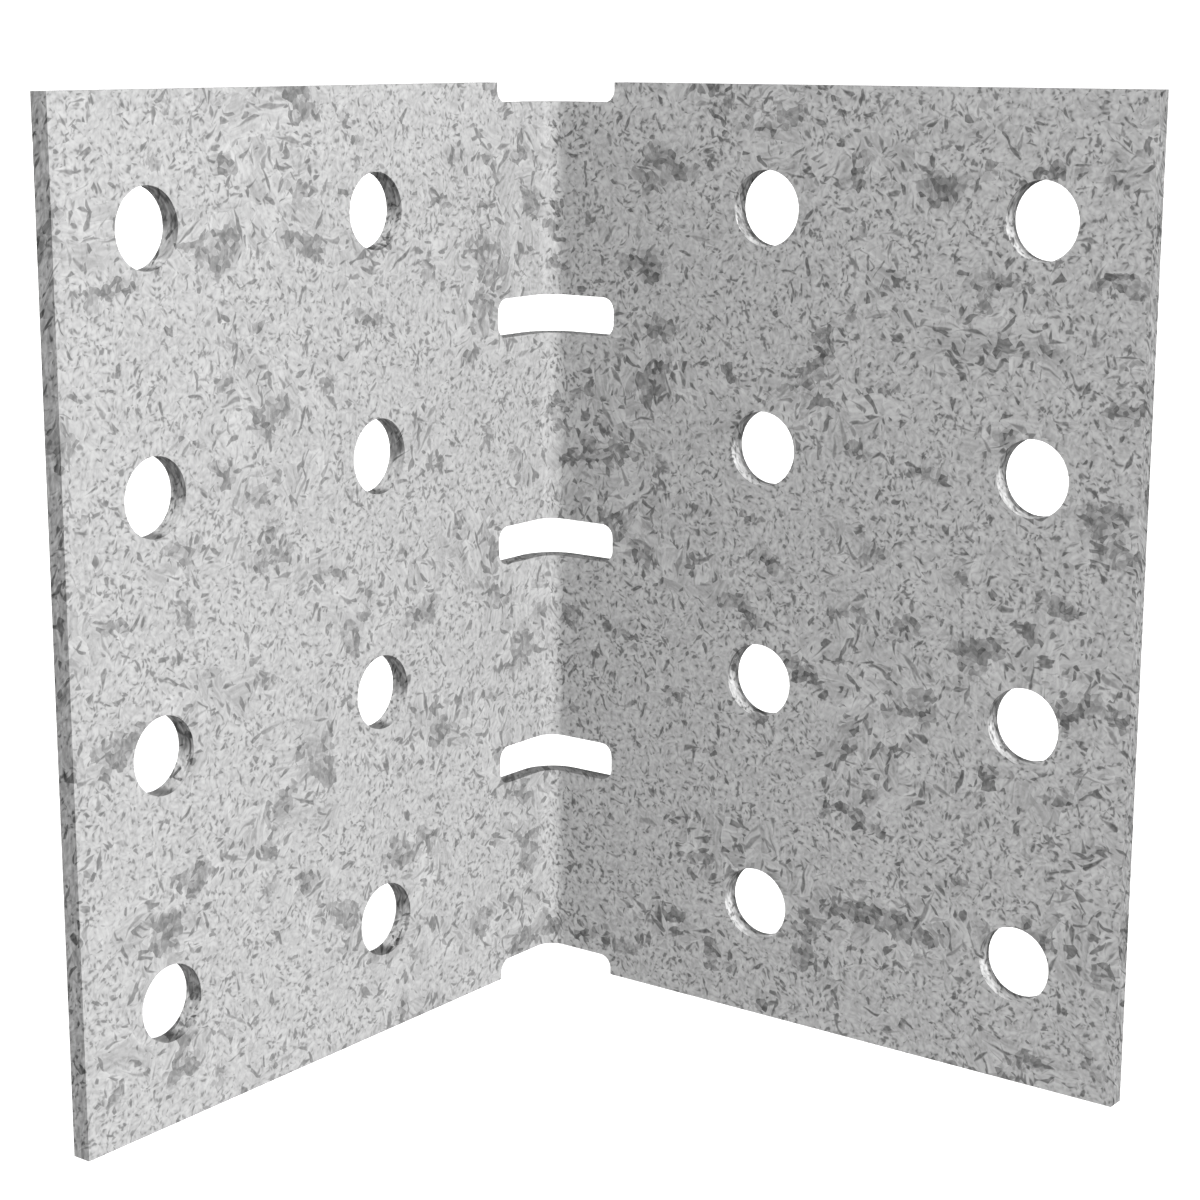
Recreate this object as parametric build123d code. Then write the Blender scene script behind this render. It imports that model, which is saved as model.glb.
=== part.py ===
from build123d import *
import os

# Angle bracket: one galvanised sheet, punched flat and folded once to a right angle.
# It stands on one cut end with the fold upright. +Z runs up the fold, the back leg
# runs along X with its outer face towards +Y, and the side leg runs along Y with its
# outer face towards -X. The origin is under the middle of the outline, on the surface
# that the bracket stands on. All sizes are in millimetres.

# Sheet and fold
sheet = 2.1
leg_width = 74.5
inner_radius = 2.1

# Rows of holes, one above the other. A slot lies between each two rows, and both
# ends are cut through the middle of a slot.
row_pitch = 25.4
row_count = 4

# Round holes, in two columns on each leg
hole_diameter = 8.0
inner_column_from_corner = 30.9
outer_column_from_edge = 11.6

# Slots across the fold, which weaken it so that it folds true
slot_height = 4.3
slot_reach = 11.1
slot_corner_radius = 1.4

# Worked out from the sizes above
height = row_count * row_pitch
outer_radius = inner_radius + sheet
slot_corner = min(slot_corner_radius, 0.45 * slot_height)
hole_columns = [inner_column_from_corner, leg_width - outer_column_from_edge]
hole_rows = [(row + 0.5) * row_pitch for row in range(row_count)]
slot_rows = [row * row_pitch for row in range(row_count + 1)]

# The outer faces of the legs would meet at this corner if the fold were sharp.
# The leg is drawn from there, and this moves it to the part's own frame.
to_part_frame = Pos(-leg_width / 2, leg_width / 2, 0)

# The back leg lies along X and the side leg is its mirror image about this plane.
between_legs = Plane(origin=(0, 0, 0), z_dir=(1, 1, 0))


def folded_sheet():
    """The sheet folded to a right angle, seen from above and drawn up to its height."""
    outside = FilletPolyline((0, -leg_width), (0, 0), (leg_width, 0), radius=outer_radius)
    inside = FilletPolyline(
        (sheet, -leg_width), (sheet, -sheet), (leg_width, -sheet), radius=inner_radius
    )
    side_edge = Line(outside @ 0, inside @ 0)
    back_edge = Line(outside @ 1, inside @ 1)
    profile = make_face([*outside.edges(), back_edge, *inside.edges(), side_edge])
    return extrude(profile, amount=height, dir=(0, 0, 1))


def through_back_leg(outline, x, z):
    """A punch with this outline at x and z, long enough to clear the fold as well."""
    return extrude(Plane.XZ * Pos(x, z) * outline, amount=outer_radius, both=True)


def round_holes():
    """The punches of the back leg's holes, column by column."""
    outline = Circle(hole_diameter / 2)
    return [through_back_leg(outline, x, z) for x in hole_columns for z in hole_rows]


def fold_slots():
    """The back leg's half of each slot, from the slot's end to past the fold."""
    outline = RectangleRounded(slot_reach + outer_radius, slot_height, slot_corner)
    middle = (slot_reach - outer_radius) / 2
    return [through_back_leg(outline, middle, z) for z in slot_rows]


def angle_bracket():
    """The folded sheet with both legs punched alike."""
    back_leg_punches = round_holes() + fold_slots()
    side_leg_punches = [mirror(punch, about=between_legs) for punch in back_leg_punches]
    return folded_sheet() - back_leg_punches - side_leg_punches


os.makedirs("parts", exist_ok=True)
export_step(to_part_frame * angle_bracket(), "parts/angle_bracket.step")
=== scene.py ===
import math
from collections import namedtuple

import bpy
from mathutils import Matrix, Vector


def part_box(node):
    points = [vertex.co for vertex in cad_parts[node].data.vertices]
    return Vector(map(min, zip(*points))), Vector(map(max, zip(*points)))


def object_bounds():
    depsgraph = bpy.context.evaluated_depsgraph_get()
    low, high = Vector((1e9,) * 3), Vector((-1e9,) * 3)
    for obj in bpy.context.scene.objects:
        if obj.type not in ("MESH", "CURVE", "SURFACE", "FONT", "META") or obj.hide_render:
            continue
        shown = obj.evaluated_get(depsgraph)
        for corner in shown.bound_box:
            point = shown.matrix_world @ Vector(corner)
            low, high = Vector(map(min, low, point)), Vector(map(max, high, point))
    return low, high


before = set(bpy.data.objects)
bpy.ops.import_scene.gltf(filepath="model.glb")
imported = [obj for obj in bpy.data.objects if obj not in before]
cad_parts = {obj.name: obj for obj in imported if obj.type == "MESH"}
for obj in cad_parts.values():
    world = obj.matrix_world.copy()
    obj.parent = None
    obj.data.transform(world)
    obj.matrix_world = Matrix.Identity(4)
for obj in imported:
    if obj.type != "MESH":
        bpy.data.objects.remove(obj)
cad_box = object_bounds()

# The camera that the photograph was taken with, found from its outlines.
PHOTO_SIDE = 1200
PHOTO_FOCAL_LENGTH = 2614.0
PHOTO_MIDDLE = (571.0, 602.0)
SENSOR = 36.0
NEAREST = 0.01
CAMERA_PLACE = Vector((0.14504, -0.19613, 0.10620))
CAMERA_AZIMUTH = math.radians(37.43)
CAMERA_ELEVATION = math.radians(12.16)
CAMERA_ROLL = math.radians(0.07)

# Floor and light, in metres and watts. The fades are given by height on a sky of radius 1.
WHITE = (1.0, 1.0, 1.0, 1.0)
FLOOR_RADIUS = 40.0
FLOOR_SIDES = 96
FLOOR_GREY = 0.85
FLOOR_GLOW = 0.50
SKY_TOP = 0.45
SKY_LEVEL = 1.78
SKY_BELOW = 0.70
LOWER_FADE = (-0.12, -0.01)
UPPER_FADE = (0.1, 0.9)
LAMP_DISTANCE = 3.0
LAMP_SIZE = 1.2
KEY_DIRECTION = Vector((0.90, -0.26, 0.30))
KEY_POWER = 123.0
BACK_DIRECTION = Vector((-0.9, 0.3, 0.15))
BACK_POWER = 100.0

# The zinc's crystals, in millimetres. Grains are small cells whose streaks all run one way. Blades lie one to
# a cell of about their spacing, and few and many are the shares of cells that hold a dark one in fine and
# coarse zones.
Grains = namedtuple("Grains", "spacing width stretch shift")
FINE_GRAINS = Grains(spacing=1.30, width=0.53, stretch=0.70, shift=71.9)
BOLD_GRAINS = Grains(spacing=2.2, width=0.85, stretch=0.38, shift=13.7)
Blades = namedtuple("Blades", "spacing length width bend few many darkness shift")
BLADES = Blades(
    spacing=1.95, length=4.0, width=0.95, bend=0.35, few=0.04, many=0.66, darkness=0.95, shift=23.1
)
LONG_BLADES = Blades(
    spacing=3.8, length=6.6, width=1.00, bend=0.5, few=0.0, many=0.85, darkness=1.0, shift=57.1
)
SMALLEST_BLADE = 0.35
PALEST_BLADE = 0.45
WIDEST_OFF_MIDDLE = 0.85
BLADE_EDGE = (0.0, 0.22)
BLADE_RIM = (-0.28, -0.02)
SHIFT_SLOPE = 1.7
SCRAMBLE = 37.0

# Where the crystals lie: how far they sway, the coarse zones and light patches, and the heaps of dark grains.
NOISE_ROUGHNESS = 0.55
MIDDLE_COLOUR = (0.5, 0.5, 0.5)
SWAY_SIZE = 1.6
SWAY = 0.45
ZONE_SIZE = 9.0
ZONE_SHAPE = (0.5, 1.0, 1.0)
COARSE_ZONE = (0.48, 0.58)
PATCH_SIZE = 4.0
CLUSTER_SIZE = 5.2
CLUSTER_SHAPE = (0.77, 1.0, 1.0)
CLUSTER_SHIFT = (37.0, 37.0, 0.0)
CLUSTERS_IN_ZONES = 0.40
CLUSTER_EDGE = (0.785, 0.835)
HEAP_EDGE = (0.84, 0.865)
HEAP_GRAIN = 0.65
HEAP_SHIFT = 5.3
PALEST_HEAP = 0.15

# How dark the crystals are. A level is the range of a noise over which a mark comes in. The other pairs are
# what is added or left for the lowest and the highest grain, patch or zone.
MIDDLE = (0.3, 0.7)
DASHES_BY_GRAIN = (-0.05, 0.04)
DASHES_BY_PATCH = (0.05, -0.06)
DASH_LEVEL = (0.575, 0.755)
DASH_DARKNESS = 0.70
DASHES_IN_ZONES = 0.4
SHARDS_BY_GRAIN = (-0.08, 0.05)
SHARDS_BY_ZONE = (-0.015, 0.045)
SHARD_LEVEL = (0.65, 0.73)
SHARD_DARKNESS = 0.85
STREAKS_IN_MARKS = (0.80, 1.08)
DARKEST = 0.74

# How light the ground between them is: grains in the fine zones, striped leaves in the coarse ones, and rims.
FINE_LEVEL = (0.30, 0.62)
FINE_LIGHT = (0.145, -0.145)
BOLD_LEVEL = (0.3, 0.55)
BOLD_LIGHT = (0.05, -0.03)
STRIPE_WIDTH = 0.45
STRIPE_STRETCH = 0.15
STRIPE_LEVEL = (0.30, 0.65)
STRIPE_LIGHT = (0.12, -0.12)
LEAF_LEVEL = (0.3, 0.6)
LEAF_LIGHT = (0.06, -0.05)
LEAF_SIDES = (-1.8, 1.8)
LEAF_SLOPE = (-0.15, 0.10)
PATCH_LIGHT = (0.02, -0.02)
RIM_LIGHT = 0.10

# The zinc's brightness, and how the legs, the fold and the cut faces differ from it. Contrast turns about the
# middle tone, and the other tones are shares of the zinc's. The side leg's lower contrast is painted sheen,
# and the fold, end and wall tones are painted light and shade.
ZINC_GREY = 0.373
MIDDLE_TONE = 0.88
# Painted sheen: the side leg's crystals keep less contrast.
SIDE_PAINTED_SHEEN_CONTRAST = 0.82
CUT_CONTRAST = 1.15
ROLLED_FACE = (0.35, 0.60)
# Painted shade on the side leg's half of the fold.
FOLD_PAINTED_SHADE = 0.93
FOLD_START = (-3.5, -1.5)
FOLD_END = (-0.4, 1.0)
# Painted shade on the sheared ends, deeper on the back leg's end.
SIDE_END_PAINTED_SHADE = 0.71
BACK_END_PAINTED_SHADE = 0.60
# Painted light and shade on the punched walls: painted shade where they face down, painted light where they
# face up.
SIDE_UPPER_WALL_PAINTED_SHADE = 0.50
BACK_UPPER_WALL_PAINTED_SHADE = 0.42
SIDE_LOWER_WALL_PAINTED_LIGHT = 1.24
BACK_LOWER_WALL_PAINTED_LIGHT = 1.20
WALL_TURN = (-0.16, 0.56)
BACK_WALL_TURN = 0.24
# Painted shadow on the back leg's walls near its outer face, out to this depth.
BACK_WALL_PAINTED_SHADOW_DEPTH = (0.4, 1.1)
# Painted shade on the slots' flat bottoms.
SILL_PAINTED_SHADE = 0.28
SILL_TURN = (0.90, 0.99)

# Streaks along the cut faces, in millimetres, and how much they lighten and darken the ends and the walls.
CUT_STREAK_WIDTH = 0.42
CUT_STREAK_STRETCH = 0.35
CUT_STREAK_LEVEL = (0.34, 0.66)
END_STREAKS = (0.80, 1.16)
WALL_STREAKS = (0.90, 0.25)

# The zinc's gloss, and its pits: their size in millimetres and their depth in metres.
PLAIN_ROUGHNESS = 0.78
DARK_ROUGHNESS = 0.84
METALLIC = 0.4
SPECULAR = 0.25
PIT_SIZE = 0.45
PIT_DEPTH = 0.00005
PIT_STRENGTH = 0.35

# The bracket's outer corner and its size, in millimetres. Each end has half a slot, no deeper than HALF_SLOT,
# and the slots end before SLOT_END along each leg.
MILLIMETRES = 1000.0
LOW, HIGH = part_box("angle_bracket")
CORNER_X = LOW[0] * MILLIMETRES
CORNER_Y = HIGH[1] * MILLIMETRES
LEG_WIDTH = (HIGH[0] - LOW[0]) * MILLIMETRES
HEIGHT = (HIGH[2] - LOW[2]) * MILLIMETRES
SLOT_END = 15.0
HALF_SLOT = 2.2
END_MARGIN = 0.1
CUT_SLANT = 0.5


class Nodes:
    """Short forms for adding nodes to one tree. A value may be a number, a tuple or another node's socket."""

    def __init__(self, tree):
        self.tree = tree

    def add(self, kind, **settings):
        node = self.tree.nodes.new(kind)
        for name, value in settings.items():
            setattr(node, name, value)
        return node

    def put(self, socket, value):
        if isinstance(value, bpy.types.NodeSocket):
            self.tree.links.new(value, socket)
        else:
            socket.default_value = value

    def maths(self, operation, a, b=None):
        node = self.add("ShaderNodeMath", operation=operation)
        self.put(node.inputs[0], a)
        if b is not None:
            self.put(node.inputs[1], b)
        return node.outputs[0]

    def joined(self, operation, values):
        result = values[0]
        for value in values[1:]:
            result = self.maths(operation, result, value)
        return result

    def total(self, *values):
        return self.joined("ADD", values)

    def product(self, *values):
        return self.joined("MULTIPLY", values)

    def largest(self, *values):
        return self.joined("MAXIMUM", values)

    def smallest(self, *values):
        return self.joined("MINIMUM", values)

    def less(self, a, b):
        return self.maths("SUBTRACT", a, b)

    def vector(self, operation, a, b=None, scale=None):
        node = self.add("ShaderNodeVectorMath", operation=operation)
        self.put(node.inputs[0], a)
        if b is not None:
            self.put(node.inputs[1], b)
        if scale is not None:
            self.put(node.inputs["Scale"], scale)
        return node.outputs[0]

    def between(self, value, at_low, at_high):
        """A value that goes from 0 to 1 becomes one that goes from at_low to at_high."""
        node = self.add("ShaderNodeMath", operation="MULTIPLY_ADD")
        for socket, setting in zip(node.inputs, (value, at_high - at_low, at_low)):
            self.put(socket, setting)
        return node.outputs[0]

    def ramp(self, value, source, target=(0.0, 1.0), smooth=False):
        """A value that goes over the source pair goes over the target pair instead, and no further."""
        node = self.add("ShaderNodeMapRange", interpolation_type="SMOOTHSTEP" if smooth else "LINEAR")
        names = ("Value", "From Min", "From Max", "To Min", "To Max")
        for name, setting in zip(names, (value, *source, *target)):
            self.put(node.inputs[name], setting)
        return node.outputs["Result"]

    def split(self, vector):
        node = self.add("ShaderNodeSeparateXYZ")
        self.put(node.inputs[0], vector)
        return node.outputs

    def join(self, x, y, z=0.0):
        node = self.add("ShaderNodeCombineXYZ")
        for socket, value in zip(node.inputs, (x, y, z)):
            self.put(socket, value)
        return node.outputs[0]

    def noise(self, point, size, detail, flat=True, colour=False):
        node = self.add("ShaderNodeTexNoise", noise_dimensions="2D" if flat else "3D")
        self.put(node.inputs["Vector"], point)
        node.inputs["Scale"].default_value = 1 / size
        node.inputs["Detail"].default_value = detail
        node.inputs["Roughness"].default_value = NOISE_ROUGHNESS
        return node.outputs["Color" if colour else "Fac"]


def make_camera():
    """A camera at the photograph's place, turned and framed as it is there."""
    data = bpy.data.cameras.new("camera")
    data.sensor_width = SENSOR
    data.lens = SENSOR * PHOTO_FOCAL_LENGTH / PHOTO_SIDE
    data.shift_x = 0.5 - PHOTO_MIDDLE[0] / PHOTO_SIDE
    data.shift_y = PHOTO_MIDDLE[1] / PHOTO_SIDE - 0.5
    data.clip_start = NEAREST
    data.clip_end = 2 * FLOOR_RADIUS
    camera = bpy.data.objects.new("camera", data)
    turn = Matrix.Rotation(CAMERA_AZIMUTH, 4, "Z")
    tilt = Matrix.Rotation(math.pi / 2 - CAMERA_ELEVATION, 4, "X")
    roll = Matrix.Rotation(CAMERA_ROLL, 4, "Z")
    camera.matrix_world = Matrix.Translation(CAMERA_PLACE) @ turn @ tilt @ roll
    bpy.context.scene.collection.objects.link(camera)
    bpy.context.scene.camera = camera


def make_floor():
    """A pale round floor, wide enough to run out of sight. It throws no light up at the bracket."""
    bpy.ops.mesh.primitive_circle_add(vertices=FLOOR_SIDES, radius=FLOOR_RADIUS, fill_type="NGON")
    floor = bpy.context.object
    floor.name = "floor"
    material = bpy.data.materials.new("floor")
    material.use_nodes = True
    shader = material.node_tree.nodes["Principled BSDF"]
    shader.inputs["Base Color"].default_value = (FLOOR_GREY, FLOOR_GREY, FLOOR_GREY, 1.0)
    shader.inputs["Roughness"].default_value = 1.0
    shader.inputs["Specular IOR Level"].default_value = 0.0
    shader.inputs["Emission Color"].default_value = WHITE
    shader.inputs["Emission Strength"].default_value = FLOOR_GLOW
    floor.data.materials.append(material)
    floor.visible_diffuse = False
    floor.visible_glossy = False


def lamp(name, direction, power):
    """A large soft lamp that shines at the bracket's middle from that direction."""
    data = bpy.data.lights.new(name, "AREA")
    data.shape = "DISK"
    data.size = LAMP_SIZE
    data.energy = power
    light = bpy.data.objects.new(name, data)
    way = direction.normalized()
    light.location = (Vector(cad_box[0]) + Vector(cad_box[1])) / 2 + way * LAMP_DISTANCE
    light.rotation_euler = way.to_track_quat("Z", "Y").to_euler()
    light.visible_camera = False
    bpy.context.scene.collection.objects.link(light)


def make_light():
    """A white sky, brightest at the horizon, and a soft lamp for each side of the bracket."""
    world = bpy.data.worlds.new("studio")
    bpy.context.scene.world = world
    world.use_nodes = True
    n = Nodes(world.node_tree)
    sky = world.node_tree.nodes["Background"]
    sky.inputs["Color"].default_value = WHITE
    height = n.split(n.add("ShaderNodeTexCoord").outputs["Generated"])["Z"]
    below = n.ramp(height, LOWER_FADE, (SKY_BELOW, SKY_LEVEL), smooth=True)
    above = n.ramp(height, UPPER_FADE, (0.0, SKY_LEVEL - SKY_TOP), smooth=True)
    n.put(sky.inputs["Strength"], n.less(below, above))
    lamp("key", KEY_DIRECTION, KEY_POWER)
    lamp("back", BACK_DIRECTION, BACK_POWER)


# Where a point lies in the bracket, in millimetres: how deep under the outer face, how far out along its leg,
# how high, how far across the sheet from the outer corner, and whether that is on the back leg.
Place = namedtuple("Place", "depth run z across on_back")


def sheet_place(n):
    """A point's place on the unfolded sheet, where the crystals are drawn, and in the bracket."""
    point = n.vector("SCALE", n.add("ShaderNodeTexCoord").outputs["Object"], scale=MILLIMETRES)
    x, y, z = n.split(point)
    back = n.less(x, CORNER_X)
    side = n.less(CORNER_Y, y)
    depth = n.smallest(back, side)
    run = n.largest(back, side)
    across = n.less(back, side)
    up = n.total(z, n.product(depth, -CUT_SLANT))
    on_back = n.maths("GREATER_THAN", back, side)
    return n.join(across, up), Place(depth, run, z, across, on_back)


def cells(n, point, spacing, shift):
    """For each cell: the point as the cells see it, the cell's centre and its three random numbers."""
    moved = n.vector("ADD", point, (shift, shift * SHIFT_SLOPE, 0.0))
    pattern = n.add("ShaderNodeTexVoronoi", voronoi_dimensions="2D", feature="F1")
    n.put(pattern.inputs["Vector"], moved)
    pattern.inputs["Scale"].default_value = 1 / spacing
    chance = n.add("ShaderNodeSeparateColor")
    n.put(chance.inputs[0], pattern.outputs["Color"])
    return moved, pattern.outputs["Position"], chance.outputs


def cell_seats(n, point, spacing, shift):
    """For each cell: its centre, the way from there to the point, turned at random, two random numbers."""
    moved, centre, chance = cells(n, point, spacing, shift)
    turned = n.add("ShaderNodeVectorRotate", rotation_type="Z_AXIS")
    n.put(turned.inputs["Vector"], n.vector("SUBTRACT", moved, centre))
    n.put(turned.inputs["Angle"], n.product(chance[0], 2 * math.pi))
    along, beside, _ = n.split(turned.outputs[0])
    return centre, along, beside, chance[1], chance[2]


def more_chance(n, centre):
    """Three more random numbers for the cell with that centre."""
    noise = n.add("ShaderNodeTexWhiteNoise", noise_dimensions="2D")
    n.put(noise.inputs["Vector"], centre)
    chance = n.add("ShaderNodeSeparateColor")
    n.put(chance.inputs[0], noise.outputs["Color"])
    return chance.outputs


def grow(n, point, kind, share):
    """Dark blades and wedges, their pale rims, and where each point lies from its cell's centre.

    share(centre) is how likely the cell with that centre is to hold a dark one.
    """
    centre, along, beside, lean, bend = cell_seats(n, point, kind.spacing, kind.shift)
    size, thin, dark = more_chance(n, centre)
    half_length = 0.5 * kind.length
    half_width = 0.5 * kind.width
    reach = n.maths("DIVIDE", along, n.between(size, SMALLEST_BLADE * half_length, half_length))
    bow = n.product(n.between(bend, -kind.bend * kind.width, kind.bend * kind.width), reach, reach)
    widest = n.between(lean, -WIDEST_OFF_MIDDLE, WIDEST_OFF_MIDDLE)
    rise = n.maths("DIVIDE", n.total(reach, 1.0), n.total(widest, 1.0))
    fall = n.maths("DIVIDE", n.less(1.0, reach), n.less(1.0, widest))
    breadth = n.product(n.smallest(rise, fall), n.between(thin, SMALLEST_BLADE * half_width, half_width))
    inside = n.less(breadth, n.maths("ABSOLUTE", n.total(beside, bow)))
    pick = n.maths("FRACT", n.product(n.total(size, thin, dark), SCRAMBLE))
    depth = n.product(n.maths("LESS_THAN", pick, share(centre)), n.between(dark, PALEST_BLADE, 1.0))
    blade = n.ramp(inside, BLADE_EDGE, smooth=True)
    rim = n.product(n.ramp(inside, BLADE_RIM, smooth=True), depth)
    return n.product(blade, depth, kind.darkness), rim, (centre, along, beside)


def streaks(n, seat, width, stretch):
    """Fine streaks from 0 to 1 that run along each cell's own direction."""
    centre, along, beside = seat
    return n.noise(n.vector("ADD", n.join(n.product(along, stretch), beside), centre), width, detail=1.0)


def grains(n, point, kind):
    """The streaks of small grains, and a random number for each grain."""
    centre, along, beside, chance, _ = cell_seats(n, point, kind.spacing, kind.shift)
    return streaks(n, (centre, along, beside), kind.width, kind.stretch), chance


# How high the zones' noise is at a point, how coarse the zinc is there, from 0 to 1, and how light it is.
Zones = namedtuple("Zones", "height coarse patches")


def find_zones(n, point):
    """Where the zinc has its coarse zones and its light patches."""
    height = n.noise(n.vector("MULTIPLY", point, ZONE_SHAPE), ZONE_SIZE, detail=2.0)
    return Zones(height, n.ramp(height, COARSE_ZONE, smooth=True), n.noise(point, PATCH_SIZE, detail=1.0))


def clustered(n, zones, centre, edge):
    """Whether the cell with that centre lies in a cluster of dark crystals, from 0 to 1."""
    apart = n.vector("MULTIPLY", n.vector("ADD", centre, CLUSTER_SHIFT), CLUSTER_SHAPE)
    height = n.noise(apart, CLUSTER_SIZE, detail=2.0)
    return n.ramp(n.total(height, n.product(zones.height, CLUSTERS_IN_ZONES)), edge)


def heaps(n, point, zones):
    """Heaps of small dark grains."""
    _, centre, chance = cells(n, point, HEAP_GRAIN, HEAP_SHIFT)
    return n.product(clustered(n, zones, centre, HEAP_EDGE), n.between(chance[0], PALEST_HEAP, 1.0))


def dashes(n, zones, fine, chance):
    """Short dark dashes in the fine grains, fewer in the coarse zones."""
    by_grain = n.between(chance, *DASHES_BY_GRAIN)
    height = n.total(fine, by_grain, n.ramp(zones.patches, MIDDLE, DASHES_BY_PATCH))
    dash = n.ramp(height, DASH_LEVEL, (0.0, DASH_DARKNESS), smooth=True)
    return n.product(dash, n.between(zones.coarse, 1.0, DASHES_IN_ZONES))


def shards(n, zones, bold, chance):
    """Broader dark shards in the bold grains, more in the coarse zones."""
    height = n.total(bold, n.between(chance, *SHARDS_BY_GRAIN), n.between(zones.coarse, *SHARDS_BY_ZONE))
    return n.ramp(height, SHARD_LEVEL, (0.0, SHARD_DARKNESS), smooth=True)


def ground_tone(n, zones, fine, bold, leaf):
    """How much the ground differs from 1: grains in the fine zones, and striped leaves in the coarse ones."""
    even = n.total(n.ramp(fine, FINE_LEVEL, FINE_LIGHT), n.ramp(bold, BOLD_LEVEL, BOLD_LIGHT))
    stripes = n.ramp(streaks(n, leaf, STRIPE_WIDTH, STRIPE_STRETCH), STRIPE_LEVEL, STRIPE_LIGHT)
    leaves = n.total(stripes, n.ramp(fine, LEAF_LEVEL, LEAF_LIGHT), n.ramp(leaf[2], LEAF_SIDES, LEAF_SLOPE))
    return n.total(n.product(even, n.less(1.0, zones.coarse)), n.product(leaves, zones.coarse))


def crystals(n, point):
    """The zinc's tone, from 0 to about 1, and how dark its crystals are."""
    sway = n.vector("SUBTRACT", n.noise(point, SWAY_SIZE, detail=0.0, colour=True), MIDDLE_COLOUR)
    bent = n.vector("ADD", point, n.vector("SCALE", sway, scale=SWAY))
    zones = find_zones(n, point)

    def share_of_blades(centre):
        in_zones = n.between(zones.coarse, BLADES.few, BLADES.many)
        return n.largest(in_zones, clustered(n, zones, centre, CLUSTER_EDGE))

    def share_of_long_blades(centre):
        return n.between(zones.coarse, LONG_BLADES.few, LONG_BLADES.many)

    blade, blade_rim, _ = grow(n, bent, BLADES, share_of_blades)
    long_blade, long_rim, leaf = grow(n, bent, LONG_BLADES, share_of_long_blades)
    fine, fine_chance = grains(n, bent, FINE_GRAINS)
    bold, bold_chance = grains(n, bent, BOLD_GRAINS)

    shard = shards(n, zones, bold, bold_chance)
    solid = n.largest(shard, blade, long_blade, heaps(n, bent, zones))
    streaked = n.product(solid, n.ramp(fine, MIDDLE, STREAKS_IN_MARKS))
    dark = n.largest(streaked, dashes(n, zones, fine, fine_chance))

    ground = ground_tone(n, zones, fine, bold, leaf)
    patches = n.ramp(zones.patches, MIDDLE, PATCH_LIGHT)
    rims = n.product(n.largest(blade_rim, long_rim), RIM_LIGHT)
    light = n.total(1.0, ground, patches, rims)
    return n.product(light, n.less(1.0, n.product(dark, DARKEST))), dark


def grey(n, value):
    """A grey of that brightness."""
    node = n.add("ShaderNodeCombineColor")
    for socket in node.inputs:
        n.put(socket, value)
    return node.outputs[0]


def painted_fold_shade(n, across):
    """A little less than 1 on the side leg's half of the fold, as painted shade."""
    onto = n.ramp(across, FOLD_START, (0.0, 1.0 - FOLD_PAINTED_SHADE), smooth=True)
    off = n.ramp(across, FOLD_END, (1.0, 0.0), smooth=True)
    return n.less(1.0, n.product(onto, off))


def cut_streaks(n, place):
    """Fine streaks along the cut faces, from 0 to 1."""
    across = n.product(place.across, CUT_STREAK_STRETCH)
    up = n.product(place.z, CUT_STREAK_STRETCH)
    streak = n.noise(n.join(across, up, place.depth), CUT_STREAK_WIDTH, detail=1.0, flat=False)
    return n.ramp(streak, CUT_STREAK_LEVEL)


def painted_wall_light_and_shade(n, place, lift, streak):
    """How bright the punched walls are, as painted light and shade: painted shade where they face down, near
    the back leg's outer face and on the slots' flat bottoms, and painted light where they face up.
    """
    on_side = n.less(1.0, place.on_back)
    turned = n.ramp(n.total(lift, n.between(place.on_back, 0.0, BACK_WALL_TURN)), WALL_TURN, smooth=True)
    # The back leg's walls keep their painted shadow near the outer face.
    painted_light_share = n.product(turned, n.largest(n.ramp(place.depth, BACK_WALL_PAINTED_SHADOW_DEPTH), on_side))
    # Painted shade for walls that face down, painted light for walls that face up.
    facing_down = n.between(place.on_back, SIDE_UPPER_WALL_PAINTED_SHADE, BACK_UPPER_WALL_PAINTED_SHADE)
    facing_up = n.between(place.on_back, SIDE_LOWER_WALL_PAINTED_LIGHT, BACK_LOWER_WALL_PAINTED_LIGHT)
    facing = n.total(facing_down, n.product(painted_light_share, n.less(facing_up, facing_down)))
    with_sill = n.largest(on_side, n.maths("LESS_THAN", place.run, SLOT_END))
    # Painted shade on the slots' flat bottoms.
    painted_sill_shade = n.ramp(n.product(lift, with_sill), SILL_TURN, (1.0, SILL_PAINTED_SHADE), smooth=True)
    streaked = n.product(n.less(streak, 0.5), n.between(painted_light_share, *WALL_STREAKS))
    return n.product(facing, painted_sill_shade, n.total(1.0, streaked))


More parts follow.
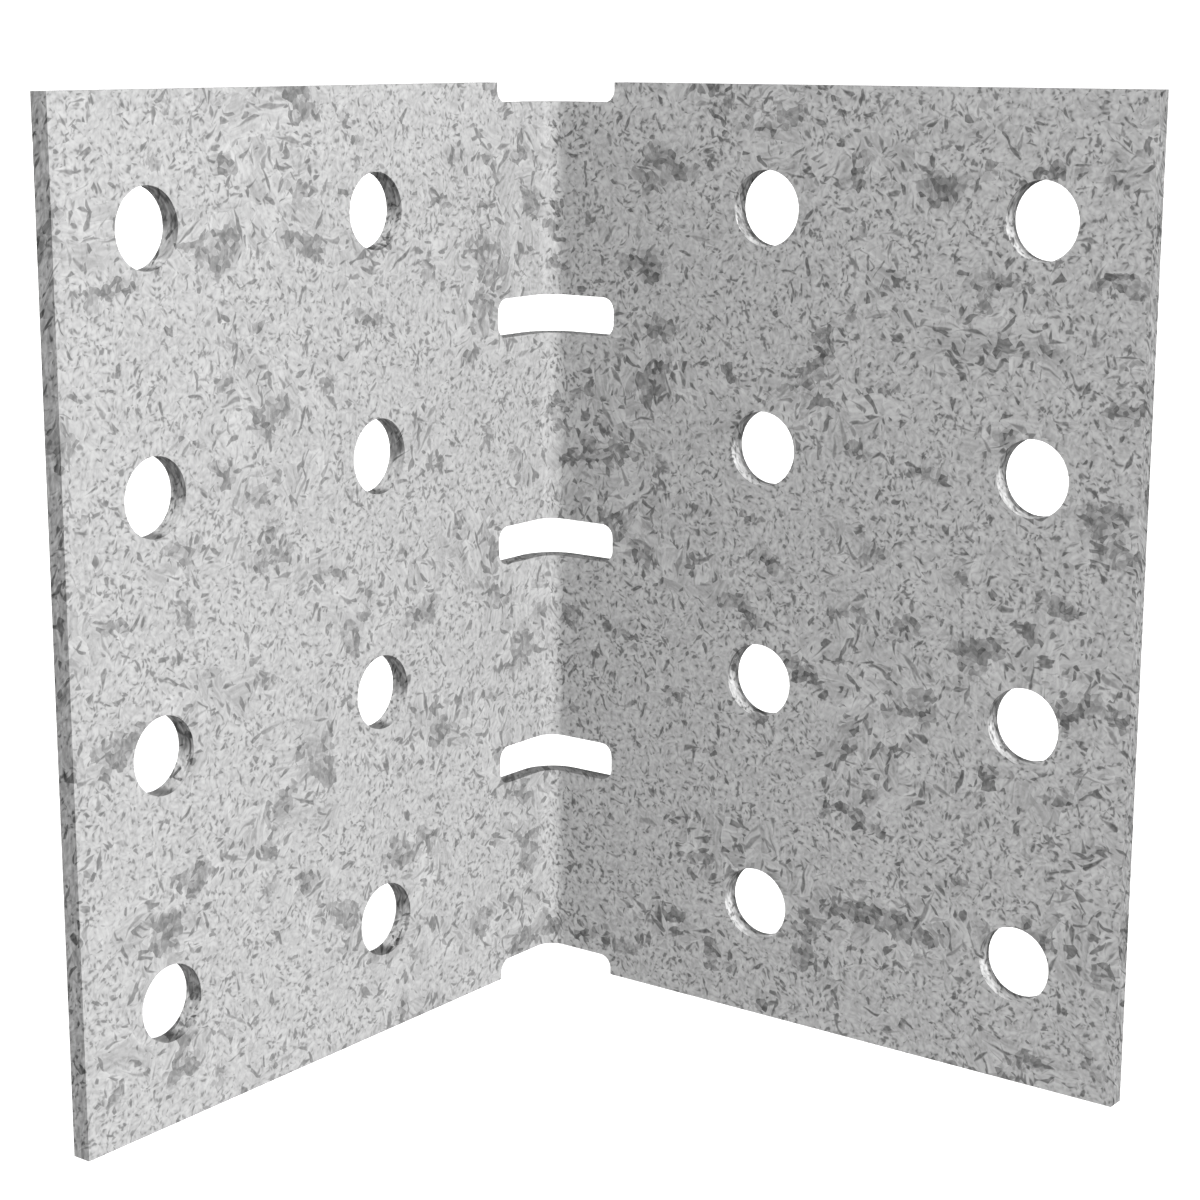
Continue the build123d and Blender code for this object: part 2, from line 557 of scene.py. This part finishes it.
def painted_cut_face_light_and_shade(n, place, lift):
    """How bright the cut faces are: painted shade on the sheared ends, painted light and shade on the walls.
    The half slots are as the sheared ends are.
    """
    streak = cut_streaks(n, place)
    from_leg_end = n.less(LEG_WIDTH + HALF_SLOT, place.run)
    margin = n.smallest(from_leg_end, place.z, n.less(HEIGHT, place.z))
    at_end = n.maths("LESS_THAN", margin, HALF_SLOT + END_MARGIN)
    # Painted shade on the sheared ends, with their streaks.
    end = n.product(n.between(place.on_back, SIDE_END_PAINTED_SHADE, BACK_END_PAINTED_SHADE), n.between(streak, *END_STREAKS))
    wall = painted_wall_light_and_shade(n, place, lift, streak)
    return n.total(n.product(end, at_end), n.product(wall, n.less(1.0, at_end)))


def add_pits(n, shader):
    """Small pits in the zinc's surface."""
    relief = n.add("ShaderNodeBump")
    relief.inputs["Strength"].default_value = PIT_STRENGTH
    relief.inputs["Distance"].default_value = PIT_DEPTH
    place = n.add("ShaderNodeTexCoord").outputs["Object"]
    n.put(relief.inputs["Height"], n.noise(place, PIT_SIZE / MILLIMETRES, detail=1.0, flat=False))
    n.put(shader.inputs["Normal"], relief.outputs[0])


def zinc():
    """Hot-dip zinc with crystals on every face, over the fold too, painted sheen on the side leg, painted
    shade on the fold and painted light and shade on the faces that were cut.
    """
    material = bpy.data.materials.new("zinc")
    material.use_nodes = True
    n = Nodes(material.node_tree)
    shader = material.node_tree.nodes["Principled BSDF"]
    point, place = sheet_place(n)
    tone, dark = crystals(n, point)

    normal = n.add("ShaderNodeNewGeometry").outputs["Normal"]
    face_x, face_y, lift = n.split(normal)
    through = n.total(n.product(face_y, place.on_back), n.product(face_x, n.less(1.0, place.on_back)))
    rolled = n.ramp(n.maths("ABSOLUTE", through), ROLLED_FACE, smooth=True)
    cut = n.less(1.0, rolled)
    # The rolled faces get the fold's painted shade, the cut faces their painted light and shade.
    shade = n.total(n.product(painted_fold_shade(n, place.across), rolled), n.product(painted_cut_face_light_and_shade(n, place, lift), cut))
    # Painted sheen: less contrast on the side leg's rolled faces.
    painted_sheen_contrast = n.between(place.on_back, SIDE_PAINTED_SHEEN_CONTRAST, 1.0)
    contrast = n.total(n.product(painted_sheen_contrast, rolled), n.product(cut, CUT_CONTRAST))
    spread = n.total(n.product(n.less(tone, MIDDLE_TONE), contrast), MIDDLE_TONE)

    n.put(shader.inputs["Base Color"], grey(n, n.product(spread, shade, ZINC_GREY)))
    n.put(shader.inputs["Roughness"], n.between(dark, PLAIN_ROUGHNESS, DARK_ROUGHNESS))
    shader.inputs["Metallic"].default_value = METALLIC
    shader.inputs["Specular IOR Level"].default_value = SPECULAR
    add_pits(n, shader)
    return material


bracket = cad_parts["angle_bracket"]
bracket.data.materials.clear()
bracket.data.materials.append(zinc())

make_camera()
make_floor()
make_light()
bpy.context.scene.view_settings.view_transform = "Standard"
